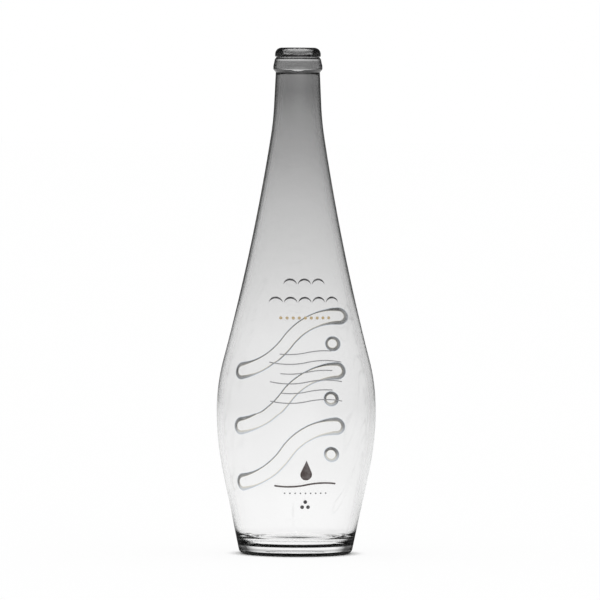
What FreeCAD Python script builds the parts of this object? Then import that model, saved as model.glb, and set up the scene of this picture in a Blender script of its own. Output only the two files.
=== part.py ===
"""Clear glass water bottle with a crown finish, a raised flow pattern on the back
and fired enamel decoration on the front.

Frame: millimetres, +Z up, origin at the centre of the foot, the decoration faces -Y.
"""

import FreeCAD
import Part
import Sketcher

import math
import os

SIZES = [
    # finish, from the crest down to the neck
    ("mouth_bore_dia", 16.5, "inside of the mouth"),
    ("bore_length", 16.0, "straight part of the mouth, from the crest down"),
    ("lip_round", 1.2, "inner edge of the crest"),
    ("throat_round", 30.0, "where the straight mouth opens into the neck"),
    ("crown_ring_dia", 26.6, "ring that a crown closure grips"),
    ("crown_ring_height", 5.0, "crest to the lower corner of that ring"),
    ("crest_round", 3.8, "outer edge of the crest"),
    ("ring_round", 0.5, "lower edge of the ring"),
    ("groove_dia", 25.0, "groove below the ring"),
    ("groove_drop", 0.7, "ring corner to groove corner"),
    ("groove_round", 0.35, "groove corner"),
    ("collar_dia", 26.8, "upper corner of the collar, below the groove"),
    ("collar_rise", 0.9, "that corner to the groove corner"),
    ("collar_round", 1.2, "that corner"),
    ("bead_dia", 28.6, "widest part of the collar"),
    ("bead_slope", 4.2, "upper bead corner to the corner of the collar"),
    ("bead_height", 1.8, "between the two bead corners"),
    ("bead_under", 1.8, "lower bead corner to the neck"),
    ("bead_round", 1.4, "both bead corners"),
    ("under_round", 0.8, "hollow below the bead"),
    # neck, shoulder and belly
    ("neck_top_dia", 25.7, "neck under the bead"),
    ("neck_base_dia", 27.6, "neck where the shoulder starts"),
    ("neck_length", 19.6, "height of the straight neck"),
    ("neck_blend", 170.0, "radius from neck to shoulder"),
    ("shoulder_rise", 177.5, "widest level to the foot of the neck"),
    ("shoulder_radius", 1325.0, "long hollow curve of the shoulder"),
    ("belly_dia", 92.8, "widest diameter"),
    ("belly_level", 83.5, "height of the widest diameter"),
    ("belly_upper_radius", 117.0, "curve above the widest level"),
    ("flank_drop", 17.8, "widest level down to where the straight flank meets that diameter"),
    # foot
    ("bearing_outer_dia", 59.6, "outside of the ring it stands on"),
    ("bearing_width", 3.0, "width of the ring it stands on"),
    ("heel_radius", 3.4, "outer edge of the foot"),
    ("bearing_round", 3.0, "inner edge of the ring it stands on"),
    ("punt_height", 5.0, "rise of the hollow under the foot"),
    # glass thickness
    ("belly_wall", 3.3, "wall at the widest level"),
    ("shoulder_wall", 3.8, "wall along the shoulder"),
    ("neck_wall", 4.2, "wall at the foot of the neck"),
    ("heel_inside_dia", 46.0, "circle through the centres of the inside heel curve"),
    ("heel_inside_round", 9.0, "inside heel curve"),
    ("floor_level", 7.0, "lowest inside level"),
    ("floor_rise", 4.5, "rise of the inside floor to its middle"),
    # raised flow pattern on the back
    ("relief_height", 0.7, "raise above the glass"),
    ("relief_root", 1.2, "depth to which the raised parts are rooted in the wall"),
    ("ribbon_width", 8.0, "width of a ribbon"),
    ("ribbon_start", 30.0, "left end, from the middle"),
    ("ribbon_end", 30.0, "right end, from the middle"),
    ("ribbon_hub_x", 33.0, "curve centres, sideways from the middle"),
    ("ribbon_hub_z", 25.0, "curve centres, above and below the ribbon's middle"),
    ("ribbon_level", 56.0, "middle of the lowest ribbon"),
    ("ribbon_pitch", 33.0, "height between ribbons"),
    ("ribbon_count", 3, "ribbons"),
    ("bubble_dia", 7.0, "raised disc"),
    ("bubble_x", 27.0, "discs, from the middle"),
    ("bubble_level", 55.5, "lowest disc"),
    ("bubble_pitch", 33.0, "height between discs"),
    ("bubble_count", 3, "discs"),
    # fired enamel on the front
    ("film_seat", 0.1, "hair gap between the curved glass and the enamel"),
    ("film_height", 0.2, "thickness of the enamel"),
    ("crest_chord", 7.6, "width of one wave crest"),
    ("crest_rise", 3.4, "outer rise of a wave crest"),
    ("crest_hollow", 2.3, "inner rise of a wave crest"),
    ("crest_pitch", 8.2, "wave crest to wave crest"),
    ("upper_crest_level", 158.2, "foot of the upper crests"),
    ("upper_crest_count", 3, "crests in the upper row"),
    ("lower_crest_level", 147.7, "foot of the lower crests"),
    ("lower_crest_count", 5, "crests in the lower row"),
    ("gold_dot_dia", 1.8, "gold dot"),
    ("gold_dot_pitch", 3.5, "gold dot to gold dot"),
    ("gold_dot_level", 138.9, "row of gold dots"),
    ("gold_dot_count", 9, "gold dots"),
    ("ripple_width", 0.6, "thickness of a ripple line"),
    ("ripple_hub_z", 49.0, "ripple curve centres, above and below the line"),
    ("ripple_hub_x", 10.4, "ripple curve centres, sideways"),
    ("long_ripple_reach", 20.8, "half length of a long ripple"),
    ("long_ripple_level", 91.0, "lowest long ripple"),
    ("short_ripple_reach", 15.0, "half length of a short ripple"),
    ("short_ripple_level", 96.6, "lowest short ripple"),
    ("ripple_pitch", 11.2, "between ripples of one length"),
    ("ripple_count", 3, "ripples of each length"),
    ("drop_radius", 3.4, "round part of the drop"),
    ("drop_level", 48.5, "middle of the round part"),
    ("drop_rise", 8.2, "middle of the round part to the tip"),
    ("mark_line_width", 1.0, "thickness of the line under the drop"),
    ("mark_line_reach", 17.4, "half length of that line"),
    ("mark_line_level", 42.4, "height of that line"),
    ("fine_dot_dia", 1.0, "fine dot"),
    ("fine_dot_pitch", 3.0, "fine dot to fine dot"),
    ("fine_dot_level", 37.5, "row of fine dots"),
    ("fine_dot_count", 9, "fine dots"),
    ("triad_dot_dia", 2.2, "dot of the lowest mark"),
    ("triad_radius", 2.0, "its dots, from the mark's middle"),
    ("triad_level", 30.4, "the mark's middle"),
    ("triad_count", 3, "its dots"),
]

doc = FreeCAD.newDocument("bottle")
sheet = doc.addObject("Spreadsheet::Sheet", "sizes")
for row, (alias, value, note) in enumerate(SIZES, start=1):
    sheet.set("A%d" % row, note)
    sheet.set("B%d" % row, str(value))
    sheet.setAlias("B%d" % row, alias)
doc.recompute()


class Size:
    """A length with its value and the sheet formula that gives it."""

    def __init__(self, value, text):
        self.value = float(value)
        self.text = text

    def _with(self, other, sign):
        if not isinstance(other, Size):
            other = Size(other, repr(other))
        text = "(%s %s %s)" % (self.text, sign, other.text)
        if sign == "+":
            return Size(self.value + other.value, text)
        if sign == "-":
            return Size(self.value - other.value, text)
        if sign == "*":
            return Size(self.value * other.value, text)
        return Size(self.value / other.value, text)

    def __add__(self, other):
        return self._with(other, "+")

    def __sub__(self, other):
        return self._with(other, "-")

    def __mul__(self, other):
        return self._with(other, "*")

    def __truediv__(self, other):
        return self._with(other, "/")

    def __neg__(self):
        return Size(-self.value, "(0 - %s)" % self.text)


def cell(name):
    return Size(sheet.get(name), "sizes." + name)


ZERO = Size(0, "0")
X_AXIS, Y_AXIS = range(-1, -3, -1)
START, END, CENTRE = range(1, 4)


def vec(x, y):
    return FreeCAD.Vector(x, y, 0)


def angle_at(centre, point):
    return math.atan2(point[1] - centre[1], point[0] - centre[0])


def on_circle(centre, radius, angle):
    return centre[0] + radius * math.cos(angle), centre[1] + radius * math.sin(angle)


class Outline:
    """A sketch on the body's XZ plane whose sizes follow the sheet."""

    def __init__(self, body, name):
        self.sketch = body.newObject("Sketcher::SketchObject", name)
        plane = [f for f in body.Origin.OriginFeatures if f.Role == "XZ_Plane"][0]
        self.sketch.AttachmentSupport = [(plane, "")]
        self.sketch.MapMode = "FlatFace"

    def line(self, a, b):
        return self.sketch.addGeometry(Part.LineSegment(vec(*a), vec(*b)), False)

    def arc(self, centre, radius, first, last):
        """An arc that runs anticlockwise between two angles."""
        while last < first:
            last += 2 * math.pi
        circle = Part.Circle(vec(*centre), FreeCAD.Vector(0, 0, 1), radius)
        return self.sketch.addGeometry(Part.ArcOfCircle(circle, first, last), False)

    def tie(self, *args):
        return self.sketch.addConstraint(Sketcher.Constraint(*args))

    def smooth(self, geo_a, end_a, geo_b, end_b):
        self.tie("Tangent", geo_a, end_a, geo_b, end_b)

    def join(self, geo_a, end_a, geo_b, end_b):
        self.tie("Coincident", geo_a, end_a, geo_b, end_b)

    def size(self, args, size):
        index = self.tie(*args, size.value)
        self.sketch.setExpression("Constraints[%d]" % index, size.text)

    def radius(self, geo, size):
        self.size(("Radius", geo), size)

    def at_x(self, geo, end, x):
        if x.value < 0:
            self.size(("DistanceX", geo, end, -1, START), -x)
        elif x is ZERO:
            self.tie("PointOnObject", geo, end, Y_AXIS)
        else:
            self.size(("DistanceX", geo, end), x)

    def at_y(self, geo, end, y):
        self.size(("DistanceY", geo, end), y)

    def at(self, geo, end, x, y):
        self.at_x(geo, end, x)
        self.at_y(geo, end, y)


def circle_touching(c1, d1, c2, d2):
    """Centre at distance d1 from c1 and d2 from c2, on the outer side."""
    dx, dy = c2[0] - c1[0], c2[1] - c1[1]
    gap = math.hypot(dx, dy)
    along = (d1 * d1 - d2 * d2 + gap * gap) / (2 * gap)
    off = math.sqrt(d1 * d1 - along * along)
    ux, uy = dx / gap, dy / gap
    return c1[0] + along * ux + off * uy, c1[1] + along * uy - off * ux


def lean_onto(point, centre, radius):
    """Lean from the upright of the line from a point down to the outer side of a circle."""
    dx, dy = point[0] - centre[0], point[1] - centre[1]
    return math.atan2(dx, dy) - math.asin(radius / math.hypot(dx, dy))


class Form:
    """One side of the glass, from the heel to the foot of the neck."""

    def __init__(self, belly, wall, heel_x, heel_y, heel, shoulder, neck, foot_x, top_x, top_y):
        self.belly = belly
        self.upper = cell("belly_upper_radius") - wall
        self.heel_x, self.heel_y, self.heel = heel_x, heel_y, heel
        self.shoulder, self.neck = shoulder, neck
        self.foot_x, self.foot_y = foot_x, NECK_FOOT
        self.top_x, self.top_y = top_x, top_y

    def draw(self, out, heel_start):
        """Heel, flank, lower belly, upper belly, shoulder and neck curve, all tangent."""
        level = cell("belly_level")
        corner_level = level - cell("flank_drop")
        heel = (self.heel_x.value, self.heel_y.value)
        corner = (self.belly.value, corner_level.value)
        normal = -lean_onto(corner, heel, self.heel.value)
        lower = cell("flank_drop").value / math.tan(-normal / 2)
        low = (self.belly.value - lower, level.value)
        up = (self.belly.value - self.upper.value, level.value)
        foot = (self.foot_x.value, self.foot_y.value)
        lean = angle_at(foot, (self.top_x.value, self.top_y.value)) - math.pi / 2
        hub = on_circle(foot, self.neck.value, lean)
        far = circle_touching(
            up,
            self.shoulder.value + self.upper.value,
            hub,
            self.shoulder.value - self.neck.value,
        )
        rise = angle_at(up, far)
        swing = angle_at(far, hub) + math.pi * 2
        self.heel_arc = out.arc(heel, self.heel.value, heel_start, normal)
        self.flank = out.line(
            on_circle(heel, self.heel.value, normal), on_circle(low, lower, normal)
        )
        self.low_arc = out.arc(low, lower, normal, 0)
        self.up_arc = out.arc(up, self.upper.value, 0, rise)
        self.long_arc = out.arc(far, self.shoulder.value, swing - math.pi * 2, rise + math.pi)
        self.neck_arc = out.arc(hub, self.neck.value, lean + math.pi, swing)
        out.smooth(self.heel_arc, END, self.flank, START)
        out.smooth(self.flank, END, self.low_arc, START)
        out.smooth(self.low_arc, END, self.up_arc, START)
        out.smooth(self.up_arc, END, self.long_arc, END)
        out.smooth(self.long_arc, START, self.neck_arc, END)
        out.radius(self.heel_arc, self.heel)
        out.radius(self.up_arc, self.upper)
        out.radius(self.long_arc, self.shoulder)
        out.radius(self.neck_arc, self.neck)
        out.at(self.up_arc, START, self.belly, level)
        out.at_y(self.low_arc, CENTRE, level)
        point = out.sketch.addGeometry(Part.Point(vec(*corner)), True)
        out.at(point, START, self.belly, corner_level)
        out.tie("PointOnObject", point, START, self.flank)


def corner_run(out, start, corners, finish):
    """Straight sides through rounded corners, from a start point to a finish point."""
    points = [(start[0].value, start[1].value)]
    points += [(c[0].value, c[1].value) for c in corners]
    points += [(finish[0].value, finish[1].value)]
    trims = [0.0]
    for before, here, after, corner in zip(points, points[1:], points[2:], corners):
        turn = angle_at(before, here) - angle_at(here, after)
        bend = abs((turn + math.pi) % (2 * math.pi) - math.pi)
        trims.append(corner[2].value * math.tan(bend / 2))
    trims.append(0.0)
    sides = []
    for k in range(len(points) - 1):
        way = angle_at(points[k], points[k + 1])
        first = on_circle(points[k], trims[k], way)
        last = on_circle(points[k + 1], -trims[k + 1], way)
        sides.append(out.line(first, last))
    for k, corner in enumerate(corners):
        before, here, after = points[k], points[k + 1], points[k + 2]
        way_in, way_out = angle_at(before, here), angle_at(here, after)
        turn = (way_out - way_in + math.pi) % (2 * math.pi) - math.pi
        left = turn > 0
        side = math.pi / 2 if left else -math.pi / 2
        touch = on_circle(here, -trims[k + 1], way_in)
        centre = on_circle(touch, corner[2].value, way_in + side)
        leave = on_circle(here, trims[k + 1], way_out)
        a, b = angle_at(centre, touch), angle_at(centre, leave)
        arc = out.arc(centre, corner[2].value, a if left else b, b if left else a)
        out.smooth(sides[k], END, arc, START if left else END)
        out.smooth(arc, END if left else START, sides[k + 1], START)
        out.radius(arc, corner[2])
        point = out.sketch.addGeometry(Part.Point(vec(*here)), True)
        out.at(point, START, corner[0], corner[1])
        out.tie("PointOnObject", point, START, sides[k])
        out.tie("PointOnObject", point, START, sides[k + 1])
    out.at(sides[0], START, *start)
    out.at(sides[-1], END, *finish)
    return sides


def dome(out, apex, edge_x, edge_y, edge):
    """A round-topped floor whose curve runs into the edge curve; its centre is on the axis."""
    drop = edge_y.value - apex.value
    reach = edge_x.value**2 + drop**2 - edge.value**2
    radius = reach / (2 * (edge.value - drop))
    hub = (0.0, apex.value - radius)
    touch = angle_at(hub, (edge_x.value, edge_y.value))
    arc = out.arc(hub, radius, touch, math.pi / 2)
    out.tie("PointOnObject", arc, CENTRE, Y_AXIS)
    out.at(arc, END, ZERO, apex)
    return arc, touch


NECK_FOOT = cell("belly_level") + cell("shoulder_rise")
NECK_TOP = NECK_FOOT + cell("neck_length")
BEAD_LOW = NECK_TOP + cell("bead_under")
BEAD_HIGH = BEAD_LOW + cell("bead_height")
COLLAR = BEAD_HIGH + cell("bead_slope")
GROOVE = COLLAR + cell("collar_rise")
RING_LOW = GROOVE + cell("groove_drop")
CREST = RING_LOW + cell("crown_ring_height")
BORE_END = CREST - cell("bore_length")

OUTSIDE = Form(
    cell("belly_dia") / 2,
    ZERO,
    cell("bearing_outer_dia") / 2,
    cell("heel_radius"),
    cell("heel_radius"),
    cell("shoulder_radius"),
    cell("neck_blend"),
    cell("neck_base_dia") / 2,
    cell("neck_top_dia") / 2,
    NECK_TOP,
)
INSIDE = Form(
    cell("belly_dia") / 2 - cell("belly_wall"),
    cell("belly_wall"),
    cell("heel_inside_dia") / 2,
    cell("floor_level") + cell("heel_inside_round"),
    cell("heel_inside_round"),
    cell("shoulder_radius") + cell("shoulder_wall"),
    cell("neck_blend") + cell("neck_wall"),
    cell("neck_base_dia") / 2 - cell("neck_wall"),
    cell("mouth_bore_dia") / 2,
    BORE_END,
)


def new_body(name):
    body = doc.addObject("PartDesign::Body", name)
    body.Label = name
    return body


def turn_round(body, sketch, name):
    feature = body.newObject("PartDesign::Revolution", name)
    feature.Profile = sketch
    feature.ReferenceAxis = (sketch, ["V_Axis"])
    feature.Angle = 360.0
    sketch.Visibility = False
    doc.recompute()
    return feature


def glass_section():
    """The whole glass as one half section, turned about the axis."""
    body = new_body("plain_bottle")
    out = Outline(body, "half_section")
    edge_x = cell("bearing_outer_dia") / 2 - cell("bearing_width")
    edge = cell("bearing_round")
    punt, touch = dome(out, cell("punt_height"), edge_x, edge, edge)
    ring = out.arc((edge_x.value, edge.value), edge.value, touch + math.pi, 1.5 * math.pi)
    foot = out.line((edge_x.value, 0), (OUTSIDE.heel_x.value, 0))
    OUTSIDE.draw(out, 1.5 * math.pi)
    out.smooth(punt, START, ring, START)
    out.smooth(ring, END, foot, START)
    out.smooth(foot, END, OUTSIDE.heel_arc, START)
    out.radius(ring, edge)
    out.tie("PointOnObject", foot, START, X_AXIS)
    out.tie("PointOnObject", foot, END, X_AXIS)
    out.at_x(foot, START, edge_x)
    out.at_x(foot, END, OUTSIDE.heel_x)
    corners = [
        (cell("neck_top_dia") / 2, NECK_TOP, cell("under_round")),
        (cell("bead_dia") / 2, BEAD_LOW, cell("bead_round")),
        (cell("bead_dia") / 2, BEAD_HIGH, cell("bead_round")),
        (cell("collar_dia") / 2, COLLAR, cell("collar_round")),
        (cell("groove_dia") / 2, GROOVE, cell("groove_round")),
        (cell("crown_ring_dia") / 2, RING_LOW, cell("ring_round")),
        (cell("crown_ring_dia") / 2, CREST, cell("crest_round")),
        (cell("mouth_bore_dia") / 2, CREST, cell("lip_round")),
        (cell("mouth_bore_dia") / 2, BORE_END, cell("throat_round")),
    ]
    sides = corner_run(
        out, (OUTSIDE.foot_x, OUTSIDE.foot_y), corners, (INSIDE.foot_x, INSIDE.foot_y)
    )
    apex = cell("floor_level") + cell("floor_rise")
    floor, touch = dome(out, apex, INSIDE.heel_x, INSIDE.heel_y, INSIDE.heel)
    INSIDE.draw(out, touch + math.pi)
    out.smooth(floor, START, INSIDE.heel_arc, START)
    out.at(INSIDE.heel_arc, CENTRE, INSIDE.heel_x, INSIDE.heel_y)
    out.smooth(OUTSIDE.neck_arc, START, sides[0], START)
    out.smooth(INSIDE.neck_arc, START, sides[-1], END)
    axis = out.line((0, cell("punt_height").value), (0, apex.value))
    out.join(axis, START, punt, END)
    out.join(axis, END, floor, END)
    turn_round(body, out.sketch, "turned_glass")
    return body


def outer_form():
    """A full body with the outside shape of the glass below the neck."""
    body = new_body("outer_form")
    out = Outline(body, "outer_half")
    form = OUTSIDE
    foot = out.line((0, 0), (form.heel_x.value, 0))
    form.draw(out, 1.5 * math.pi)
    neck = out.line((form.foot_x.value, form.foot_y.value), (form.top_x.value, form.top_y.value))
    top = out.line((form.top_x.value, form.top_y.value), (0, form.top_y.value))
    axis = out.line((0, form.top_y.value), (0, 0))
    out.smooth(foot, END, form.heel_arc, START)
    out.smooth(form.neck_arc, START, neck, START)
    out.join(neck, END, top, START)
    out.join(top, END, axis, START)
    out.join(axis, END, foot, START)
    out.join(foot, START, -1, START)
    out.tie("Horizontal", foot)
    out.at_x(foot, END, form.heel_x)
    out.at(neck, START, form.foot_x, form.foot_y)
    out.at(neck, END, form.top_x, form.top_y)
    out.tie("Horizontal", top)
    out.tie("Vertical", axis)
    turn_round(body, out.sketch, "turned_form")
    return body


def skin(form, name, offset):
    """The outer form, grown or shrunk evenly."""
    grown = doc.addObject("Part::Offset", name)
    grown.Source = form
    grown.Value = offset.value
    grown.setExpression("Value", offset.text)
    grown.Mode = 0
    grown.Join = 0
    doc.recompute()
    return grown


def stamp(body, sketch, back):
    """Runs a flat outline from the axis plane out through the wall."""
    pad = body.newObject("PartDesign::Pad", body.Name + "_run")
    pad.Profile = sketch
    pad.Length = cell("belly_dia").value
    pad.setExpression("Length", "sizes.belly_dia")
    pad.Reversed = back
    sketch.Visibility = False
    doc.recompute()
    return pad


def repeat(body, pad, sketch, axis, step, count, reverse=False):
    """Copies a stamp evenly along an axis of its sketch."""
    row = body.newObject("PartDesign::LinearPattern", body.Name + "_row")
    row.Originals = [pad]
    row.Direction = (sketch, [axis])
    row.Reversed = reverse
    extent = step * (count - 1)
    row.Length = extent.value
    row.setExpression("Length", extent.text)
    row.Occurrences = int(count.value)
    row.setExpression("Occurrences", count.text)
    body.Tip = row
    doc.recompute()
    return row


def ribbon(out, level, hub_x, hub_z, reach_left, reach_right, width):
    """A strip along two opposed arcs of one radius, with round ends."""
    left = (-hub_x.value, level.value + hub_z.value)
    right = (hub_x.value, level.value - hub_z.value)
    radius = math.hypot(hub_x.value, hub_z.value)
    half = width.value / 2
    joint = angle_at(left, right)
    first = -math.acos((hub_x.value - reach_left.value) / radius)
    last = math.acos((reach_right.value - hub_x.value) / radius)
    inner_l = out.arc(left, radius - half, first, joint)
    outer_l = out.arc(left, radius + half, first, joint)
    inner_r = out.arc(right, radius - half, last, joint + math.pi)
    outer_r = out.arc(right, radius + half, last, joint + math.pi)
    cap_l = out.arc(on_circle(left, radius, first), half, first + math.pi, first + 2 * math.pi)
    cap_r = out.arc(on_circle(right, radius, last), half, last + math.pi, last + 2 * math.pi)
    out.smooth(inner_l, END, outer_r, END)
    out.smooth(outer_l, END, inner_r, END)
    out.smooth(inner_l, START, cap_l, START)
    out.smooth(cap_l, END, outer_l, START)
    out.smooth(inner_r, START, cap_r, START)
    out.smooth(cap_r, END, outer_r, START)
    out.join(inner_l, CENTRE, outer_l, CENTRE)
    out.join(inner_r, CENTRE, outer_r, CENTRE)
    out.tie("Equal", inner_l, inner_r)
    out.at(inner_l, CENTRE, -hub_x, level + hub_z)
    out.at(inner_r, CENTRE, hub_x, level - hub_z)
    out.radius(cap_l, width / 2)
    out.at_x(cap_l, CENTRE, -reach_left)
    out.at_x(cap_r, CENTRE, reach_right)


def dot(out, x, level, dia):
    circle = Part.Circle(vec(x.value, level.value), FreeCAD.Vector(0, 0, 1), dia.value / 2)
    geo = out.sketch.addGeometry(circle, False)
    out.size(("Diameter", geo), dia)
    out.at(geo, CENTRE, x, level)


def ribbon_rows(name, level, hub_x, hub_z, left, right, width, step, count, back):
    body = new_body(name)
    out = Outline(body, name + "_outline")
    ribbon(out, level, hub_x, hub_z, left, right, width)
    pad = stamp(body, out.sketch, back)
    if count is not None:
        repeat(body, pad, out.sketch, "V_Axis", step, count)
    return body


def dot_row(name, dia, pitch, level, count):
    body = new_body(name)
    out = Outline(body, name + "_outline")
    dot(out, pitch * (count - 1) / 2, level, dia)
    pad = stamp(body, out.sketch, False)
    repeat(body, pad, out.sketch, "H_Axis", pitch, count, True)
    return body


def crest_row(name, level, count):
    """Crescents side by side, tips on one level."""
    body = new_body(name)
    out = Outline(body, name + "_outline")
    chord, rise, hollow = cell("crest_chord"), cell("crest_rise"), cell("crest_hollow")
    middle = cell("crest_pitch") * (count - 1) / 2
    curves = []
    for height in (rise, hollow):
        radius = (chord.value**2 / 4 + height.value**2) / (2 * height.value)
        hub = (middle.value, level.value + height.value - radius)
        tip = angle_at(hub, (middle.value + chord.value / 2, level.value))
        curves.append(out.arc(hub, radius, tip, math.pi - tip))
    over, under = curves
    out.join(over, START, under, START)
    out.join(over, END, under, END)
    out.at(over, START, middle + chord / 2, level)
    out.tie("Horizontal", over, START, over, END)
    out.size(("DistanceX", over, END, over, START), chord)
    for arc, height in ((over, rise), (under, hollow)):
        radius = (chord * chord / 4 + height * height) / (height * 2)
        out.radius(arc, radius)
    pad = stamp(body, out.sketch, False)
    repeat(body, pad, out.sketch, "H_Axis", cell("crest_pitch"), count, True)
    return body


def drop_stamp(name):
    body = new_body(name)
    out = Outline(body, name + "_outline")
    radius, level, rise = cell("drop_radius"), cell("drop_level"), cell("drop_rise")
    centre = (0.0, level.value)
    tip = (0.0, level.value + rise.value)
    spread = math.acos(radius.value / rise.value)
    round_part = out.arc(centre, radius.value, math.pi / 2 + spread, 2.5 * math.pi - spread)
    left = out.line(tip, on_circle(centre, radius.value, math.pi / 2 + spread))
    right = out.line(on_circle(centre, radius.value, math.pi / 2 - spread), tip)
    out.smooth(left, END, round_part, START)
    out.smooth(round_part, END, right, START)
    out.join(right, END, left, START)
    out.radius(round_part, radius)
    out.at(round_part, CENTRE, ZERO, level)
    out.at(left, START, ZERO, level + rise)
    stamp(body, out.sketch, False)
    return body


def triad_stamp(name):
    body = new_body(name)
    out = Outline(body, name + "_outline")
    level = cell("triad_level")
    out.sketch.AttachmentOffset = FreeCAD.Placement(
        FreeCAD.Vector(0, level.value, 0), FreeCAD.Rotation()
    )
    out.sketch.setExpression("AttachmentOffset.Base.y", level.text)
    dot(out, ZERO, cell("triad_radius"), cell("triad_dot_dia"))
    pad = stamp(body, out.sketch, False)
    ring = body.newObject("PartDesign::PolarPattern", name + "_ring")
    ring.Originals = [pad]
    ring.Axis = (out.sketch, ["N_Axis"])
    ring.Angle = 360.0
    ring.Occurrences = int(cell("triad_count").value)
    ring.setExpression("Occurrences", "sizes.triad_count")
    body.Tip = ring
    doc.recompute()
    return body


def pair(kind, name, base, tool):
    result = doc.addObject(kind, name)
    result.Base = base
    result.Tool = tool
    doc.recompute()
    return result


def film(label, stamp_body, film_skin, seat_skin):
    """The part of a stamp that lies between its seat on the glass and the top of the enamel."""
    slab = pair("Part::Common", label + "_slab", stamp_body, film_skin)
    layer = pair("Part::Cut", label + "_layer", slab, seat_skin)
    layer.Label = label
    return layer


plain = glass_section()
form = outer_form()
relief_skin = skin(form, "relief_skin", cell("relief_height"))
root_skin = skin(form, "root_skin", -cell("relief_root"))
seat_skin = skin(form, "seat_skin", cell("film_seat"))
film_skin = skin(form, "film_skin", cell("film_seat") + cell("film_height"))

ribbons = ribbon_rows(
    "ribbon_stamp",
    cell("ribbon_level"),
    cell("ribbon_hub_x"),
    cell("ribbon_hub_z"),
    cell("ribbon_start"),
    cell("ribbon_end"),
    cell("ribbon_width"),
    cell("ribbon_pitch"),
    cell("ribbon_count"),
    True,
)
bubbles = new_body("bubble_stamp")
bubble_out = Outline(bubbles, "bubble_outline")
dot(bubble_out, cell("bubble_x"), cell("bubble_level"), cell("bubble_dia"))
bubble_pad = stamp(bubbles, bubble_out.sketch, True)
repeat(bubbles, bubble_pad, bubble_out.sketch, "V_Axis", cell("bubble_pitch"), cell("bubble_count"))

raised = []
for tool in (ribbons, bubbles):
    slab = pair("Part::Common", tool.Name + "_slab", tool, relief_skin)
    raised.append(pair("Part::Cut", tool.Name + "_raise", slab, root_skin))
glass = doc.addObject("Part::MultiFuse", "glass")
glass.Shapes = [plain] + raised
glass.Label = "glass_bottle"
doc.recompute()

RIPPLE = (cell("ripple_hub_x"), cell("ripple_hub_z"))
STAMPS = {
    "wave_crests_upper": crest_row(
        "crests_upper", cell("upper_crest_level"), cell("upper_crest_count")
    ),
    "wave_crests_lower": crest_row(
        "crests_lower", cell("lower_crest_level"), cell("lower_crest_count")
    ),
    "gold_dot_row": dot_row(
        "gold_dots",
        cell("gold_dot_dia"),
        cell("gold_dot_pitch"),
        cell("gold_dot_level"),
        cell("gold_dot_count"),
    ),
    "ripple_lines_long": ribbon_rows(
        "long_ripples",
        cell("long_ripple_level"),
        *RIPPLE,
        cell("long_ripple_reach"),
        cell("long_ripple_reach"),
        cell("ripple_width"),
        cell("ripple_pitch"),
        cell("ripple_count"),
        False,
    ),
    "ripple_lines_short": ribbon_rows(
        "short_ripples",
        cell("short_ripple_level"),
        *RIPPLE,
        cell("short_ripple_reach"),
        cell("short_ripple_reach"),
        cell("ripple_width"),
        cell("ripple_pitch"),
        cell("ripple_count"),
        False,
    ),
    "drop_mark": drop_stamp("drop"),
    "mark_line": ribbon_rows(
        "mark_wave",
        cell("mark_line_level"),
        *RIPPLE,
        cell("mark_line_reach"),
        cell("mark_line_reach"),
        cell("mark_line_width"),
        None,
        None,
        False,
    ),
    "fine_dot_row": dot_row(
        "fine_dots",
        cell("fine_dot_dia"),
        cell("fine_dot_pitch"),
        cell("fine_dot_level"),
        cell("fine_dot_count"),
    ),
    "dot_triad": triad_stamp("triad"),
}
nodes = [glass] + [film(label, body, film_skin, seat_skin) for label, body in STAMPS.items()]
doc.recompute()

faults = []
for obj in doc.Objects:
    if "Invalid" in obj.State or "Error" in obj.State:
        faults.append("%s is %s" % (obj.Name, obj.State))
for node in nodes:
    if node.Shape.isNull() or not node.Shape.isValid() or not node.Shape.Solids:
        faults.append("%s has no sound solid" % node.Label)
if faults:
    raise RuntimeError("; ".join(faults))

os.makedirs("parts", exist_ok=True)
for node in nodes:
    node.Shape.exportStep("parts/%s.step" % node.Label)
    box = node.Shape.BoundBox
    print(
        "%s: %d solids, %.1f mm3, x %.2f..%.2f y %.2f..%.2f z %.2f..%.2f"
        % (
            node.Label,
            len(node.Shape.Solids),
            node.Shape.Volume,
            box.XMin,
            box.XMax,
            box.YMin,
            box.YMax,
            box.ZMin,
            box.ZMax,
        )
    )
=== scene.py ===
"""Looks of a clear glass water bottle: spun glass with a raised flow pattern on its back,
a smoke tint that deepens towards the mouth, and fired enamel motifs on its front.

Sizes are written in millimetres; meshes are in metres.
"""

import math

import bpy
from mathutils import Matrix, Vector


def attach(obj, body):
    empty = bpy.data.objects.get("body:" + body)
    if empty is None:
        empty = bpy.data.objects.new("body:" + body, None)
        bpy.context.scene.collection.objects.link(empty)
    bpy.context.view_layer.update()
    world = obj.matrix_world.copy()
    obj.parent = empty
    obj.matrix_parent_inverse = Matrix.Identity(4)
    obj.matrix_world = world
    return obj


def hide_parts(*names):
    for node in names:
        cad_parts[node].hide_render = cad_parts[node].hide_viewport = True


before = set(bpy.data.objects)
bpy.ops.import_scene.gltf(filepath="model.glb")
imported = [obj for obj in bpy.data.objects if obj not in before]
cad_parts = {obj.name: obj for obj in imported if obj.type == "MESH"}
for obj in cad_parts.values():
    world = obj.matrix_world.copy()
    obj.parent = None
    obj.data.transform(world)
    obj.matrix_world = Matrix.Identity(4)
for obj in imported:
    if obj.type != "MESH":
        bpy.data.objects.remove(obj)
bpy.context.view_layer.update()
scene = bpy.context.scene

MM = 0.001
FULL_TURN = 2 * math.pi
QUARTER_TURN = math.pi / 2
NOISE_MIDDLE = (0.35, 0.65)  # where most values of a soft noise lie

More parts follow.
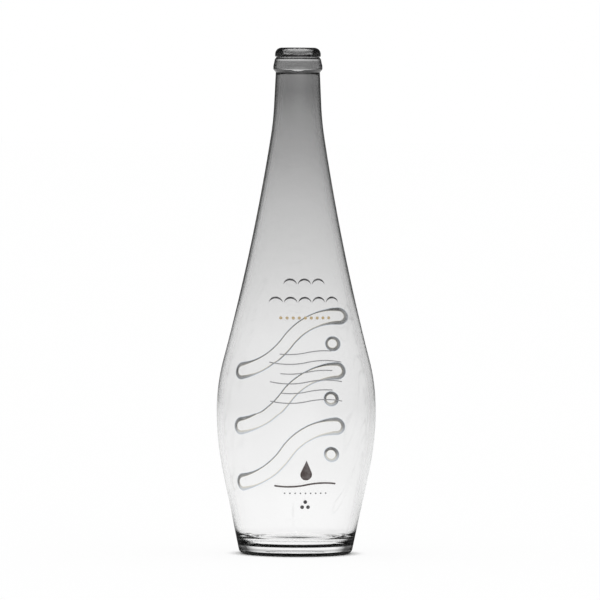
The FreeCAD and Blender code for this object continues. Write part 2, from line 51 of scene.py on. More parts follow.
# The half section of the glass: radius, height and rounding of each corner, in order
OUTSIDE = [
    (0.0, 5.0, 0.0),  # middle of the punt
    (13.3, 5.0, 70.0),  # dome of the punt
    (26.2, 0.0, 3.0),  # inner edge of the foot ring
    (32.6, 0.0, 3.4),  # heel
    (46.4, 65.7, 170.0),  # lower belly
    (46.4, 98.5, 116.5),  # upper belly
    (25.9, 177.3, 1320.0),  # long hollow of the shoulder
    (14.2, 252.0, 168.0),  # foot of the neck
    (12.85, 280.6, 0.8),  # hollow below the bead
    (14.3, 282.4, 1.4),  # bead, lower corner
    (14.3, 284.2, 1.4),  # bead, upper corner
    (13.4, 288.4, 1.2),  # corner of the collar
    (12.5, 289.3, 0.35),  # groove
    (13.3, 290.0, 0.5),  # crown ring, lower corner
    (13.3, 295.0, 3.8),  # crest, outer edge
]
INSIDE = [
    (8.25, 295.0, 1.2),  # crest, inner edge
    (8.25, 279.0, 30.0),  # end of the straight mouth
    (10.1, 254.1, 172.0),  # foot of the neck
    (21.8, 179.2, 1320.0),  # long hollow of the shoulder
    (43.1, 98.2, 113.0),  # upper belly
    (43.1, 65.7, 163.0),  # lower belly
    (29.5, 3.6, 9.0),  # heel
    (10.2, 11.5, 51.0),  # dome of the floor
    (0.0, 11.5, 0.0),  # middle of the floor
]
CREST = 295.0
PLAIN_STEP = 4.0
FINE_STEP = 0.56
CORNER_TURN = math.radians(7.5)
MERGE_DISTANCE = 0.002

# Smoke tint by height: share of light that passes both walls
TINT = [
    (31.0, 0.99),
    (60.0, 0.88),
    (84.0, 0.835),
    (124.0, 0.82),
    (147.0, 0.735),
    (178.0, 0.615),
    (205.0, 0.515),
    (233.0, 0.37),
    (252.0, 0.30),
    (270.0, 0.18),
    (282.0, 0.215),
]
# Painted dark rim by height, a painted shade standing in for the dark room that the glass bends
# into view where it is seen edge on: facing where it starts, facing where it is full, strength
PAINTED_RIM = [
    (2.0, 0.22, 0.50, 0.98),
    (9.0, 0.30, 0.58, 0.97),
    (16.0, 0.58, 0.90, 0.80),
    (26.0, 0.80, 1.00, 0.25),
    (66.0, 0.80, 1.00, 0.40),
    (90.0, 0.78, 0.98, 0.75),
    (106.0, 0.74, 0.95, 0.88),
    (132.0, 0.70, 0.93, 0.92),
    (152.0, 0.57, 0.83, 0.97),
    (235.0, 0.38, 0.74, 0.95),
    (278.8, 0.34, 0.72, 0.97),
    (279.6, 0.12, 0.28, 0.97),
    (282.6, 0.12, 0.28, 0.97),
    (283.4, 0.34, 0.72, 0.97),
    (289.4, 0.34, 0.72, 0.97),
    (290.2, 0.15, 0.26, 1.0),
    (292.6, 0.15, 0.26, 1.0),
    (293.8, 0.38, 0.55, 1.0),
]
# colour of the painted rim shade
RIM_SHADE = 0.0005
# Painted shade and painted highlight bands round the glass, standing in for light bent by the thick
# glass: height, half width, softness, and the share of light kept on the near wall and, where it
# is given, on the far wall
PAINTED_BANDS = [
    (0.4, 1.3, 0.8, 0.003, None),  # painted shade at the foot
    (3.4, 0.4, 0.5, 0.40, None),  # painted grey shade line in the heel
    (6.35, 0.75, 0.5, 0.004, None),  # painted shade at the edge of the thick bottom
    (280.2, 0.4, 0.4, 0.008, None),  # painted shade in the hollow below the bead
    (281.8, 0.6, 0.4, 0.95, None),  # painted highlight line under the bead
    (287.9, 0.35, 0.3, 0.98, None),  # painted highlight line on the collar
    (288.9, 0.3, 0.25, 0.004, None),  # painted shade at the edge of the collar
    (292.9, 2.7, 0.4, 0.15, 1.0),  # painted shade on the near wall of the crown ring, its far wall left clear
    (290.5, 0.6, 0.4, 0.0002, None),  # painted black shade below the crown ring
]

# Surface of the glass
GLASS_IOR = 1.52
GLASS_BUMP = 0.5
GLASS_BUMP_DEPTH = 0.05
WAVE_SIZE = 16.0
HAZE_SIZE = 9.0
HAZE_DETAIL = 4.0
HAZE_FROM = (0.45, 0.75)
HAZE_ROUGHNESS = 0.03
SEAM_EDGE = (0.1, 0.3)
SEAM_TOP = (276.0, 279.0)
STIPPLE_SIZE = 1.4
STIPPLE_DOT = (0.1, 0.5)
STIPPLE_TOP = (0.2, 0.8)
MOULD_RELIEF = 2.0  # seams and stipple, against the slow waves

# Raised flow pattern on the back
RAISED_BAND = (34.0, 144.0)
RAISED_ARC = math.radians(134.0)
FINE_COLUMNS = 160
PLAIN_COLUMNS = 64
RELIEF_HEIGHT = 0.69
RELIEF_EDGE = 1.1
EDGE_WIDENS = (14.0, 33.0)  # distance from the middle over which the edge grows wider
EDGE_GROWTH = 3.0
RIBBON_WIDTH = 8.0
RIBBON_REACH = 30.0
RIBBON_HUB = (33.0, 25.0)
RIBBON_LEVEL = 56.0
RIBBON_PITCH = 33.0
RIBBON_COUNT = 3
RIBBON_POINTS = 64
BUBBLE_DIA = 7.0
BUBBLE_X = 27.0
BUBBLE_LEVEL = 55.5

# Painted shade and painted colour fringes along its edges, standing in for the light they bend away
EDGE_SHADE = 0.002
LINE_STARTS = (0.45, 0.05)  # in the middle of the back and at the sides
LINE_SOFT = 0.4
UNEVEN_SIZE = 14.0
UNEVEN_LEAST = 0.94
LEAN_FADES = (-0.45, 0.0)  # upward part of the normal, from edges that face down to level ones
LEAN_LEAST = 0.5
OUTER_PAINTED_FRINGE = (0.78, 0.88, 1.0, 1.0)
INNER_PAINTED_FRINGE = (1.0, 0.95, 0.80, 1.0)
FRINGE_TURN = (0.4, 0.6)
FRINGE_FULL = 0.3

# Fired enamel
DENSITY_SIZE = 2.5
DENSITY_DETAIL = 3.0
THIN_SHARE = 0.14
THIN_GREY = 0.6
GRAIN_SIZE = 0.25
GRAIN_RANGE = (0.3, 0.7)
SPECK_FROM = (0.62, 0.75)
SPECK_SHARE = 0.3
SPECK_GREY = 0.75
ENAMEL_ROUGHNESS = (0.28, 0.5)
ENAMEL_IOR = 1.5
ENAMEL_BUMP = 0.25
ENAMEL_BUMP_DEPTH = 0.02
CHARCOAL = (0.035, 0.034, 0.036, 1.0)
GOLD = (0.48, 0.36, 0.19, 1.0)
MID_GREY = (0.26, 0.26, 0.27, 1.0)
UMBER = (0.075, 0.055, 0.052, 1.0)

# Viewpoint
CAMERA_DISTANCE = 5000.0
CAMERA_AZIMUTH = math.radians(-8.0)
CAMERA_ELEVATION = math.radians(2.2)
CAMERA_ROLL = math.radians(0.28)
CAMERA_SENSOR = 36.0
CAMERA_SIGHT = 100000.0
FRAME_WIDTH = 349.8
AIM_HEIGHT = 147.95
AIM_ASIDE = 1.9

# Floor
FLOOR_RADIUS = 12000.0
FLOOR_CORNERS = 96
FLOOR_MOTTLE = 400.0
MOTTLE_RANGE = (0.3, 0.7)
FLOOR_TONE = (0.965, 0.975)
FLOOR_ROUGHNESS = 0.9
FLOOR_GLOW = 0.9
SHADOW_INNER = (25.5, 28.0)
SHADOW_OUTER = (31.0, 42.0)

# Levels that the glass sees and mirrors: 1 is white
ROOM_LEVEL = 0.07
CEILING_LEVEL = 0.12
LAMP_LEVEL = 4.0
SIDE_LEVEL = 0.85
SIDE_LEVEL_NEAR = 0.92
DIM_SIDE = 0.1
DIM_SIDE_NEAR = 0.8
DIM_SIDE_HIGH = 0.4
SIDE_FROM = (0.1, 0.8)
BACK_FROM = (0.6, 0.95)
GLASS_MIDDLE = 100.0  # height on the glass from which the slope to the floor is reckoned
SEEN_SLOPE = 0.4
MIRRORED_SLOPE = 0.15
NEAR_FLOOR = (90.0, 300.0)
FAR_FLOOR = (600.0, 4000.0)
# Angles above the horizon, in degrees
CEILING_RISE = (24.0, 40.0)
FRONT_RISE = (-2.0, 14.0)
SIDE_RISE = (1.0, 7.0)
LAMP_RISE = (50.0, 64.0)

# Sockets of the Mix node that carry colours
MIX_FIRST = 6
MIX_SECOND = 7
MIX_RESULT = 2


def metres(sizes):
    return [size * MM for size in sizes]


def grey(level):
    return (level, level, level, 1.0)


class Web:
    """The nodes of one tree, put in and wired by short calls."""

    def __init__(self, tree):
        self.tree = tree

    def feed(self, socket, value):
        if isinstance(value, bpy.types.NodeSocket):
            self.tree.links.new(value, socket)
        else:
            socket.default_value = value

    def put(self, kind, wires, **settings):
        node = self.tree.nodes.new(kind)
        for name, value in settings.items():
            setattr(node, name, value)
        for key, value in wires.items():
            self.feed(node.inputs[key], value)
        return node

    def math(self, operation, *values):
        node = self.put("ShaderNodeMath", dict(enumerate(values)), operation=operation)
        return node.outputs[0]

    def ramp(self, value, low, high, start=0.0, end=1.0, easing="SMOOTHSTEP"):
        """Goes from start to end while the value goes from low to high."""
        wires = {0: value, 1: low, 2: high, 3: start, 4: end}
        return self.put("ShaderNodeMapRange", wires, interpolation_type=easing).outputs[0]

    def band(self, value, middle, half, soft):
        """One within a band of a value, given in millimetres, with soft edges."""
        off = self.math("ABSOLUTE", self.math("SUBTRACT", value, middle * MM))
        return self.ramp(off, half * MM, (half + soft) * MM, 1.0, 0.0)

    def vector(self, x, y, z):
        return self.put("ShaderNodeCombineXYZ", {0: x, 1: y, 2: z}).outputs[0]

    def even(self, level):
        """A grey of a level that varies."""
        return self.vector(level, level, level)

    def axes(self, vector):
        """The X, Y and Z of a vector."""
        return self.put("ShaderNodeSeparateXYZ", {0: vector}).outputs

    def blend(self, factor, first, second, mode="MIX"):
        """Two colours mixed by a factor."""
        node = self.put("ShaderNodeMix", {"Factor": factor}, data_type="RGBA", blend_type=mode)
        self.feed(node.inputs[MIX_FIRST], first)
        self.feed(node.inputs[MIX_SECOND], second)
        return node.outputs[MIX_RESULT]

    def position(self):
        """Where a point of the mesh is, as a geometry tree reads it."""
        return self.put("GeometryNodeInputPosition", {}).outputs[0]

    def store(self, name, geometry, value):
        """Keeps a value at every point of a mesh under a name."""
        wires = {"Geometry": geometry, "Name": name, "Value": value}
        return self.put("GeometryNodeStoreNamedAttribute", wires).outputs[0]

    def stored(self, name):
        """A value kept on the mesh, as a geometry tree reads it."""
        return self.put("GeometryNodeInputNamedAttribute", {"Name": name}).outputs["Attribute"]

    def sample(self, geometry, value, index, kind):
        """The value that another mesh has at the point of an index."""
        node = self.put("GeometryNodeSampleIndex", {"Geometry": geometry}, data_type=kind)
        self.feed(node.inputs["Value"], value)
        self.feed(node.inputs["Index"], index)
        return node.outputs["Value"]

    def named(self, name):
        """A value kept on the mesh, as a material reads it."""
        return self.put("ShaderNodeAttribute", {}, attribute_name=name).outputs["Fac"]

    def place(self):
        """Where a point of the surface is, as a material reads it."""
        return self.put("ShaderNodeTexCoord", {}).outputs["Object"]

    def noise(self, where, size, detail=2.0):
        """Soft noise whose blobs are about the given size in millimetres."""
        wires = {"Vector": where, "Scale": 1 / (size * MM), "Detail": detail}
        return self.put("ShaderNodeTexNoise", wires).outputs["Fac"]


def walk(point_at, length, step_at):
    """Points along a stretch, closer together where the step is small."""
    points = []
    gone = 0.0
    while gone < length:
        point = point_at(gone)
        points.append(point)
        gone += step_at(point)
    return points


def rounded_path(corners, step_at):
    """Points along straight sides with rounded corners."""
    points = [Vector(corner[:2]) for corner in corners]
    path = []
    leave = points[0]
    for k in range(1, len(points) - 1):
        way_in = (points[k] - points[k - 1]).normalized()
        way_out = (points[k + 1] - points[k]).normalized()
        turn = way_out.angle_signed(way_in)
        radius = corners[k][2]
        trim = radius * math.tan(abs(turn) / 2)
        touch = points[k] - way_in * trim
        side = Vector((-way_in.y, way_in.x)) * math.copysign(radius, turn)
        hub = touch + side
        straight = (touch - leave).dot(way_in)
        path += walk(lambda s: leave + way_in * s, straight, lambda p: step_at(k, p))

        def on_arc(s):
            return hub + Matrix.Rotation(math.copysign(s / radius, turn), 2) @ -side

        def arc_step(p):
            return min(step_at(k, p), radius * CORNER_TURN)

        path += walk(on_arc, radius * abs(turn), arc_step)
        leave = points[k] + way_out * trim
    end = points[-1]
    last_way = (end - leave).normalized()
    path += walk(lambda s: leave + last_way * s, (end - leave).length, lambda p: PLAIN_STEP)
    return path + [end]


def section_step(corner, point):
    """Short steps where the raised pattern needs them, longer ones elsewhere."""
    raised = RAISED_BAND[0] < point.y < RAISED_BAND[1]
    return FINE_STEP if raised and corner < len(OUTSIDE) else PLAIN_STEP


def section_object():
    """The half section as a chain of points, with those on the outside marked."""
    path = rounded_path(OUTSIDE + INSIDE, section_step)
    mesh = bpy.data.meshes.new("glass_section")
    mesh.from_pydata([(p.x * MM, 0.0, p.y * MM) for p in path], [], [])
    crest = max(range(len(path)), key=lambda k: path[k].y)
    outside = mesh.attributes.new("outside", "FLOAT", "POINT")
    outside.data.foreach_set("value", [1.0 if k < crest else 0.0 for k in range(len(path))])
    return bpy.data.objects.new("glass_section", mesh)


def tree_inputs(tree, sockets):
    """Named inputs of a geometry tree, as the sockets that give them."""
    tree.interface.new_socket("Geometry", in_out="INPUT", socket_type="NodeSocketGeometry")
    for name, kind in sockets.items():
        tree.interface.new_socket(name, in_out="INPUT", socket_type="NodeSocket" + kind)
    tree.interface.new_socket("Geometry", in_out="OUTPUT", socket_type="NodeSocketGeometry")
    return tree.nodes.new("NodeGroupInput").outputs


def spun_columns(web, given):
    """A grid of section points turned round the axis, with narrow columns at the back."""
    section = given["Geometry"]
    size = web.put("GeometryNodeAttributeDomainSize", {0: section}).outputs["Point Count"]
    fine, plain, arc = given["Fine Columns"], given["Plain Columns"], given["Fine Arc"]
    columns = web.math("ADD", web.math("ADD", fine, plain), 1.0)
    wires = {"Vertices X": columns, "Vertices Y": size}
    grid = web.put("GeometryNodeMeshGrid", wires).outputs["Mesh"]
    index = web.put("GeometryNodeInputIndex", {}).outputs[0]
    column = web.math("FLOOR", web.math("DIVIDE", web.math("ADD", index, 0.5), size))
    row = web.math("SUBTRACT", index, web.math("MULTIPLY", column, size))
    in_fine = web.math("MULTIPLY", web.math("MINIMUM", column, fine), arc)
    in_arc = web.math("DIVIDE", in_fine, fine)
    beyond = web.math("MAXIMUM", web.math("SUBTRACT", column, fine), 0.0)
    rest = web.math("DIVIDE", web.math("SUBTRACT", FULL_TURN, arc), plain)
    start = web.math("SUBTRACT", QUARTER_TURN, web.math("DIVIDE", arc, 2.0))
    angle = web.math("ADD", web.math("ADD", start, in_arc), web.math("MULTIPLY", beyond, rest))
    point = web.axes(web.sample(section, web.position(), row, "FLOAT_VECTOR"))
    x = web.math("MULTIPLY", point["X"], web.math("COSINE", angle))
    y = web.math("MULTIPLY", point["X"], web.math("SINE", angle))
    wires = {"Geometry": grid, "Position": web.vector(x, y, point["Z"])}
    turned = web.put("GeometryNodeSetPosition", wires).outputs[0]
    outside = web.sample(section, web.stored("outside"), row, "FLOAT")
    marked = web.store("outside", turned, outside)
    wires = {"Geometry": marked, "Distance": MERGE_DISTANCE * MM}
    return web.put("GeometryNodeMergeByDistance", wires).outputs[0]


def repeat_upwards(web, given, x, level):
    """Points one above another, one for each ribbon."""
    wires = {
        "Count": given["Ribbon Count"],
        "Start Location": web.vector(x, 0.0, level),
        "Offset": web.vector(0.0, 0.0, given["Ribbon Pitch"]),
    }
    return web.put("GeometryNodeMeshLine", wires).outputs["Mesh"]


def ribbon_lines(web, given):
    """Middle lines of the ribbons: two opposed arcs, repeated up the back."""
    wires = {
        "Resolution": RIBBON_POINTS,
        "Radius": given["Ribbon Radius"],
        "Start Angle": given["Ribbon Start"],
        "Sweep Angle": given["Ribbon Sweep"],
    }
    arc = web.put("GeometryNodeCurveArc", wires, mode="RADIUS").outputs["Curve"]
    hub_x = web.math("MULTIPLY", given["Ribbon Hub X"], -1.0)
    wires = {
        "Geometry": arc,
        "Translation": web.vector(hub_x, 0.0, given["Ribbon Hub Z"]),
        "Rotation": (QUARTER_TURN, 0.0, 0.0),
    }
    left = web.put("GeometryNodeTransform", wires).outputs[0]
    wires = {"Geometry": left, "Rotation": (0.0, math.pi, 0.0)}
    right = web.put("GeometryNodeTransform", wires).outputs[0]
    both = web.put("GeometryNodeJoinGeometry", {0: left})
    web.feed(both.inputs[0], right)
    line = web.put("GeometryNodeCurveToMesh", {"Curve": both.outputs[0]}).outputs["Mesh"]
    points = repeat_upwards(web, given, 0.0, given["Ribbon Level"])
    copies = web.put("GeometryNodeInstanceOnPoints", {"Points": points, "Instance": line})
    return web.put("GeometryNodeRealizeInstances", {0: copies.outputs[0]}).outputs[0]


def raised_share(web, given, target, element, width):
    """One on top of a raised shape and zero beside it, with a soft edge between."""
    where = web.position()
    wires = {0: where, 1: (1.0, 0.0, 1.0)}
    flat = web.put("ShaderNodeVectorMath", wires, operation="MULTIPLY").outputs[0]
    near = web.put("GeometryNodeProximity", {"Geometry": target}, target_element=element)
    web.feed(near.inputs["Sample Position"], flat)
    past = web.math("SUBTRACT", near.outputs["Distance"], web.math("DIVIDE", width, 2.0))
    aside = web.math("ABSOLUTE", web.axes(where)["X"])
    half_edge = web.ramp(aside, *metres(EDGE_WIDENS), 0.5, 0.5 * EDGE_GROWTH)
    reach = web.math("MULTIPLY", given["Relief Edge"], half_edge)
    return web.ramp(past, web.math("MULTIPLY", reach, -1.0), reach, 1.0, 0.0)


def glass_tree(sizes, counts):
    """Spins the section and raises the flow pattern on the back."""
    tree = bpy.data.node_groups.new("spun_glass", "GeometryNodeTree")
    web = Web(tree)
    sockets = {name: "Float" for name in sizes}
    sockets.update({name: "Int" for name in counts})
    sockets["Material"] = "Material"
    given = tree_inputs(tree, sockets)
    spun = spun_columns(web, given)
    lines = ribbon_lines(web, given)
    ribbons = raised_share(web, given, lines, "EDGES", given["Ribbon Width"])
    middles = repeat_upwards(web, given, given["Bubble X"], given["Bubble Level"])
    bubbles = raised_share(web, given, middles, "POINTS", given["Bubble Width"])
    behind = web.math("GREATER_THAN", web.axes(web.position())["Y"], 0.0)
    on_back = web.math("MULTIPLY", behind, web.stored("outside"))
    share = web.math("MULTIPLY", web.math("MAXIMUM", ribbons, bubbles), on_back)
    marked = web.store("raised", spun, share)
    normal = web.put("GeometryNodeInputNormal", {}).outputs["Normal"]
    lift = web.put("ShaderNodeVectorMath", {0: normal}, operation="SCALE")
    web.feed(lift.inputs["Scale"], web.math("MULTIPLY", share, given["Relief Height"]))
    wires = {"Geometry": marked, "Offset": lift.outputs[0]}
    raised = web.put("GeometryNodeSetPosition", wires).outputs[0]
    leaning = web.store("lean", raised, web.axes(normal)["Z"])
    smooth = web.put("GeometryNodeSetShadeSmooth", {"Geometry": leaning})
    real = web.put("GeometryNodeRealizeInstances", {0: smooth.outputs[0]})
    wires = {"Geometry": real.outputs[0], "Material": given["Material"]}
    done = web.put("GeometryNodeSetMaterial", wires)
    web.put("NodeGroupOutput", {0: done.outputs[0]})
    return tree


def grown_mesh(base, tree, values, name):
    """A piece with the plain mesh that a geometry tree makes from a base object."""
    scene.collection.objects.link(base)
    modifier = base.modifiers.new(name, "NODES")
    modifier.node_group = tree
    for item in tree.interface.items_tree:
        if item.in_out == "INPUT" and item.name in values:
            modifier[item.identifier] = values[item.name]
    graph = bpy.context.evaluated_depsgraph_get()
    mesh = bpy.data.meshes.new_from_object(base.evaluated_get(graph))
    mesh.name = name
    bpy.data.objects.remove(base)
    piece = bpy.data.objects.new(name, mesh)
    scene.collection.objects.link(piece)
    return piece


def make_glass(material):
    hub_x, hub_z = RIBBON_HUB
    radius = math.hypot(hub_x, hub_z)
    start = -math.acos((hub_x - RIBBON_REACH) / radius)
    middle = -math.atan2(hub_z, hub_x)
    sizes = {
        "Relief Height": RELIEF_HEIGHT * MM,
        "Relief Edge": RELIEF_EDGE * MM,
        "Ribbon Width": RIBBON_WIDTH * MM,
        "Ribbon Radius": radius * MM,
        "Ribbon Start": start,
        "Ribbon Sweep": middle - start,
        "Ribbon Hub X": hub_x * MM,
        "Ribbon Hub Z": hub_z * MM,
        "Ribbon Level": RIBBON_LEVEL * MM,
        "Ribbon Pitch": RIBBON_PITCH * MM,
        "Bubble Width": BUBBLE_DIA * MM,
        "Bubble X": BUBBLE_X * MM,
        "Bubble Level": BUBBLE_LEVEL * MM,
        "Fine Arc": RAISED_ARC,
    }
    counts = {
        "Ribbon Count": RIBBON_COUNT,
        "Fine Columns": FINE_COLUMNS,
        "Plain Columns": PLAIN_COLUMNS,
    }
    values = {**sizes, **counts, "Material": material}
    glass = grown_mesh(section_object(), glass_tree(sizes, counts), values, "blown_glass")
    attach(glass, "root")
    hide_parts("glass_bottle")


def new_material(name):
    material = bpy.data.materials.new(name)
    material.use_nodes = True
    material.node_tree.nodes.clear()
    return material, Web(material.node_tree)


def by_height(web, height, rows):
    """Values that change with height, read from rows of a height and one or three values."""
    share = web.ramp(height, 0.0, CREST * MM, easing="LINEAR")
    node = web.put("ShaderNodeValToRGB", {0: share})
    stops = node.color_ramp.elements
    while len(stops) < len(rows):
        stops.new(0.5)
    for stop, (level, *values) in zip(stops, rows):
        stop.position = level / CREST
        stop.color = (*values, 1.0) if len(values) == 3 else grey(values[0])
    return node.outputs[0]


def glass_skin(web, place, height):
    """Roughness and relief of the glass: slow waves, a mould seam on each side, a stippled foot."""
    waves = web.noise(place, WAVE_SIZE)
    patches = web.noise(place, HAZE_SIZE, HAZE_DETAIL)
    haze = web.ramp(patches, *HAZE_FROM, 0.0, HAZE_ROUGHNESS)
    aside = web.math("ABSOLUTE", web.axes(place)["Y"])
    below_bead = web.ramp(height, *metres(SEAM_TOP), 1.0, 0.0)
    seam = web.math("MULTIPLY", web.ramp(aside, *metres(SEAM_EDGE), 1.0, 0.0), below_bead)
    wires = {"Vector": place, "Scale": 1 / (STIPPLE_SIZE * MM)}
    from_dot = web.put("ShaderNodeTexVoronoi", wires).outputs["Distance"]
    dots = web.ramp(from_dot, *STIPPLE_DOT, 1.0, 0.0)
    stipple = web.math("MULTIPLY", dots, web.ramp(height, *metres(STIPPLE_TOP), 1.0, 0.0))
    moulded = web.math("MULTIPLY", web.math("MAXIMUM", seam, stipple), MOULD_RELIEF)
    return haze, web.math("ADD", waves, moulded)


def painted_edge_shade(web, place, colour):
    """The colour with painted shade along the edges of the raised pattern, standing in for the
    light
    they bend away: fainter where they face down, thicker at the sides, with a painted cool colour
    fringe outside and a warm one inside."""
    raised = web.named("raised")
    both = web.math("MULTIPLY", raised, web.math("SUBTRACT", 1.0, raised))
    slope = web.math("MULTIPLY", both, 4.0)  # one half way up the edge, zero above and below it
    aside = web.math("ABSOLUTE", web.axes(place)["X"])
    starts = web.ramp(aside, *metres(EDGE_WIDENS), *LINE_STARTS)
    line = web.ramp(slope, starts, web.math("ADD", starts, LINE_SOFT))
    uneven = web.ramp(web.noise(place, UNEVEN_SIZE), *NOISE_MIDDLE, UNEVEN_LEAST, 1.0)
    upward = web.ramp(web.named("lean"), *LEAN_FADES, LEAN_LEAST, 1.0)
    strength = web.math("MULTIPLY", uneven, upward)
    fringe = web.blend(web.ramp(raised, *FRINGE_TURN), OUTER_PAINTED_FRINGE, INNER_PAINTED_FRINGE)
    fringed = web.blend(1.0, colour, fringe, "MULTIPLY")
    colour = web.blend(web.ramp(slope, 0.0, FRINGE_FULL), colour, fringed)
    return web.blend(web.math("MULTIPLY", line, strength), colour, grey(EDGE_SHADE))


def with_painted_bands(web, height, colour):
    """The colour with the painted shade and painted highlight bands that run round the glass."""
    backfacing = web.put("ShaderNodeNewGeometry", {}).outputs["Backfacing"]
    near_side = web.math("SUBTRACT", 1.0, backfacing)
    for level, half, soft, near_kept, far_kept in PAINTED_BANDS:
        band = web.band(height, level, half, soft)
        if far_kept:
            colour = web.blend(band, colour, grey(far_kept))
        colour = web.blend(web.math("MULTIPLY", band, near_side), colour, grey(near_kept))
    return colour


def with_painted_rim(web, height, colour):
    """The colour with a painted dark rim, painted shade where the glass is seen edge on."""
    wires = {0: by_height(web, height, PAINTED_RIM)}
    starts, full, strength = web.put("ShaderNodeSeparateColor", wires).outputs
    facing = web.put("ShaderNodeLayerWeight", {"Blend": 0.5}).outputs["Facing"]
    painted_rim = web.math("MULTIPLY", web.ramp(facing, starts, full), strength)
    return web.blend(painted_rim, colour, grey(RIM_SHADE))


def glass_material():
    """Polished glass with a smoke tint that deepens upwards and painted shade and highlights; only
    its outside is coloured.
    """
    material, web = new_material("smoke_tinted_glass")
    place = web.place()
    height = web.axes(place)["Z"]
    colour = by_height(web, height, TINT)
    # painted shade and highlight bands, a painted dark rim and painted shade along the relief edges
    colour = with_painted_bands(web, height, colour)
    colour = with_painted_rim(web, height, colour)
    colour = painted_edge_shade(web, place, colour)
    colour = web.blend(web.named("outside"), grey(1.0), colour)
    haze, relief = glass_skin(web, place, height)
    wires = {"Strength": GLASS_BUMP, "Distance": GLASS_BUMP_DEPTH * MM, "Height": relief}
    bump = web.put("ShaderNodeBump", wires)
    wires = {
        "Base Color": colour,
        "Roughness": haze,
        "Normal": bump.outputs[0],
        "IOR": GLASS_IOR,
        "Transmission Weight": 1.0,
    }
    shader = web.put("ShaderNodeBsdfPrincipled", wires)
    web.put("ShaderNodeOutputMaterial", {0: shader.outputs[0]})
    return material


def print_group():
    """Uneven density, pinholes and grain of a screened and fired print."""
    tree = bpy.data.node_groups.new("fired_print", "ShaderNodeTree")
    tree.interface.new_socket("Colour", in_out="INPUT", socket_type="NodeSocketColor")
    tree.interface.new_socket("Colour", in_out="OUTPUT", socket_type="NodeSocketColor")
    tree.interface.new_socket("Roughness", in_out="OUTPUT", socket_type="NodeSocketFloat")
    tree.interface.new_socket("Height", in_out="OUTPUT", socket_type="NodeSocketFloat")
    web = Web(tree)
    given = tree.nodes.new("NodeGroupInput").outputs
    place = web.place()
    density = web.noise(place, DENSITY_SIZE, DENSITY_DETAIL)
    grain = web.noise(place, GRAIN_SIZE)
    thin = web.ramp(density, *NOISE_MIDDLE, 0.0, THIN_SHARE)
    lighter = web.blend(thin, given["Colour"], grey(THIN_GREY))
    speck = web.ramp(grain, *SPECK_FROM, 0.0, SPECK_SHARE)
    speckled = web.blend(speck, lighter, grey(SPECK_GREY))
    roughness = web.ramp(grain, *GRAIN_RANGE, *ENAMEL_ROUGHNESS)
    web.put("NodeGroupOutput", {"Colour": speckled, "Roughness": roughness, "Height": grain})
    return tree


def enamel_material(name, colour, group):
    material, web = new_material(name)
    fired = web.put("ShaderNodeGroup", {}, node_tree=group)
    fired.inputs["Colour"].default_value = colour
    wires = {
        "Strength": ENAMEL_BUMP,
        "Distance": ENAMEL_BUMP_DEPTH * MM,
        "Height": fired.outputs["Height"],
    }
    bump = web.put("ShaderNodeBump", wires)
    wires = {
        "Base Color": fired.outputs["Colour"],
        "Roughness": fired.outputs["Roughness"],
        "Normal": bump.outputs[0],
        "IOR": ENAMEL_IOR,
    }
    shader = web.put("ShaderNodeBsdfPrincipled", wires)
    web.put("ShaderNodeOutputMaterial", {0: shader.outputs[0]})
    return material


def dress_enamel():
    group = print_group()
    charcoal = enamel_material("charcoal_enamel", CHARCOAL, group)
    gold = enamel_material("gold_enamel", GOLD, group)
    mid_grey = enamel_material("grey_enamel", MID_GREY, group)
    umber = enamel_material("umber_enamel", UMBER, group)
    finishes = {
        "wave_crests_upper": charcoal,
        "wave_crests_lower": charcoal,
        "gold_dot_row": gold,
        "ripple_lines_long": mid_grey,
        "ripple_lines_short": mid_grey,
        "drop_mark": umber,
        "mark_line": umber,
        "fine_dot_row": mid_grey,
        "dot_triad": charcoal,
    }
    for node, material in finishes.items():
        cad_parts[node].material_slots[0].material = material


def side_level(web, across, far):
    """White straight ahead, greyer far to the side."""
    return web.ramp(across, *SIDE_FROM, 1.0, far)


def bent_ray(web, ray):
    """One for light that glass or gloss has turned."""
    return web.math("MAXIMUM", ray["Is Glossy Ray"], ray["Is Transmission Ray"])


def floor_level(web, place, away, ray):
    """How bright the floor is: white to the camera, greyer on the right through the glass,
    and mirrored dark close by, far behind and at the sides."""
    heading = web.put("ShaderNodeVectorMath", {0: place}, operation="NORMALIZE").outputs[0]
    along = web.axes(heading)
    slope = web.math("DIVIDE", GLASS_MIDDLE * MM, away)
    right_level = web.ramp(slope, 0.0, SEEN_SLOPE, SIDE_LEVEL, SIDE_LEVEL_NEAR)
    through = side_level(web, along["X"], right_level)
    seen = web.math("MAXIMUM", through, ray["Is Camera Ray"])
    near = web.ramp(away, *metres(NEAR_FLOOR), ROOM_LEVEL, 1.0)
    behind = web.math("MULTIPLY", away, web.ramp(along["Y"], *BACK_FROM))
    far = web.ramp(behind, *metres(FAR_FLOOR), 1.0, ROOM_LEVEL)
    dim = web.ramp(slope, 0.0, MIRRORED_SLOPE, DIM_SIDE, DIM_SIDE_NEAR)
    sides = side_level(web, web.math("ABSOLUTE", along["X"]), dim)
    mirrored = web.math("MULTIPLY", web.math("MINIMUM", near, far), sides)
    return web.ramp(ray["Is Reflection Ray"], 0.0, 1.0, seen, mirrored, "LINEAR")


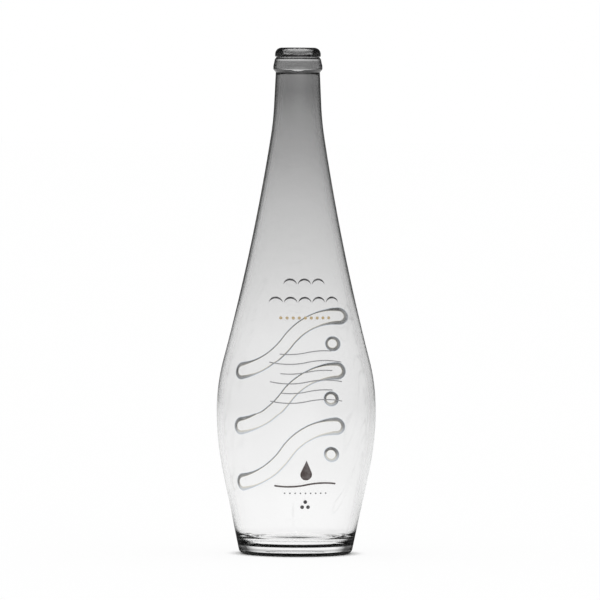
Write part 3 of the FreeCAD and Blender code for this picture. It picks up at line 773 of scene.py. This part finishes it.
def floor_material():
    """A pale sheet that keeps a contact shadow round the foot."""
    material, web = new_material("pale_floor")
    place = web.place()
    tone = web.ramp(web.noise(place, FLOOR_MOTTLE), *MOTTLE_RANGE, *FLOOR_TONE)
    wires = {
        "Base Color": web.even(tone),
        "Roughness": FLOOR_ROUGHNESS,
        "Specular IOR Level": 0.0,
    }
    shader = web.put("ShaderNodeBsdfPrincipled", wires)
    ray = web.put("ShaderNodeLightPath", {}).outputs
    away = web.put("ShaderNodeVectorMath", {0: place}, operation="LENGTH").outputs["Value"]
    level = floor_level(web, place, away, ray)
    white = web.put("ShaderNodeEmission", {"Color": web.even(level), "Strength": 1.0})
    within = web.ramp(away, *metres(SHADOW_INNER), FLOOR_GLOW, 0.0)
    beyond = web.ramp(away, *metres(SHADOW_OUTER), 0.0, FLOOR_GLOW)
    straight = web.math("MULTIPLY", ray["Is Camera Ray"], web.math("MAXIMUM", within, beyond))
    share = web.math("MAXIMUM", straight, bent_ray(web, ray))
    wires = {0: share, 1: shader.outputs[0], 2: white.outputs[0]}
    mixed = web.put("ShaderNodeMixShader", wires)
    web.put("ShaderNodeOutputMaterial", {0: mixed.outputs[0]})
    return material


def studio_floor():
    radius = FLOOR_RADIUS * MM
    turns = [FULL_TURN * k / FLOOR_CORNERS for k in range(FLOOR_CORNERS)]
    points = [(radius * math.cos(turn), radius * math.sin(turn), 0.0) for turn in turns]
    mesh = bpy.data.meshes.new("floor")
    mesh.from_pydata(points, [], [list(range(FLOOR_CORNERS))])
    mesh.materials.append(floor_material())
    floor = bpy.data.objects.new("floor", mesh)
    scene.collection.objects.link(floor)


def rise_ramp(web, rise, angles, start, end):
    """Goes from start to end between two angles above the horizon, in degrees."""
    edges = [math.sin(math.radians(angle)) for angle in angles]
    return web.ramp(rise, *edges, start, end)


def studio_world():
    """White all round; the glass sees a dark ceiling and mirrors a dim room with a white front
    and a soft lamp overhead."""
    world = bpy.data.worlds.new("white_studio")
    world.use_nodes = True
    world.node_tree.nodes.clear()
    web = Web(world.node_tree)
    way = web.put("ShaderNodeTexCoord", {}).outputs["Generated"]
    right, ahead, rise = web.axes(way)
    ray = web.put("ShaderNodeLightPath", {}).outputs
    ceiling = rise_ramp(web, rise, CEILING_RISE, 1.0, CEILING_LEVEL)
    through = web.math("MULTIPLY", side_level(web, right, SIDE_LEVEL), ceiling)
    before = web.ramp(ahead, *BACK_FROM, 1.0, 0.0)
    low = web.math("MULTIPLY", before, rise_ramp(web, rise, FRONT_RISE, 1.0, 0.0))
    dim = rise_ramp(web, rise, SIDE_RISE, DIM_SIDE, DIM_SIDE_HIGH)
    sides = side_level(web, web.math("ABSOLUTE", right), dim)
    front = web.math("MULTIPLY", low, sides)
    room = web.math("MAXIMUM", front, ROOM_LEVEL)
    mirrored = web.math("ADD", room, rise_ramp(web, rise, LAMP_RISE, 0.0, LAMP_LEVEL))
    tone = web.blend(ray["Is Reflection Ray"], web.even(through), web.even(mirrored))
    tone = web.blend(bent_ray(web, ray), grey(1.0), tone)
    back = web.put("ShaderNodeBackground", {"Color": tone, "Strength": 1.0})
    web.put("ShaderNodeOutputWorld", {0: back.outputs[0]})
    scene.world = world


def photo_camera():
    camera = bpy.data.cameras.new("camera")
    camera.sensor_width = CAMERA_SENSOR
    camera.lens = CAMERA_SENSOR * CAMERA_DISTANCE / FRAME_WIDTH
    camera.clip_end = CAMERA_SIGHT * MM
    eye = bpy.data.objects.new("camera", camera)
    scene.collection.objects.link(eye)
    right = Vector((math.cos(CAMERA_AZIMUTH), math.sin(CAMERA_AZIMUTH), 0.0))
    level = Vector((math.sin(CAMERA_AZIMUTH), -math.cos(CAMERA_AZIMUTH), 0.0))
    up = Vector((0.0, 0.0, 1.0))
    aim = (right * AIM_ASIDE + up * AIM_HEIGHT) * MM
    back = level * math.cos(CAMERA_ELEVATION) + up * math.sin(CAMERA_ELEVATION)
    turn = back.to_track_quat("Z", "Y").to_matrix().to_4x4()
    roll = Matrix.Rotation(CAMERA_ROLL, 4, "Z")
    eye.matrix_world = Matrix.Translation(aim + back * CAMERA_DISTANCE * MM) @ turn @ roll
    scene.camera = eye


scene.view_settings.view_transform = "Standard"
photo_camera()
studio_world()
studio_floor()
make_glass(glass_material())
dress_enamel()
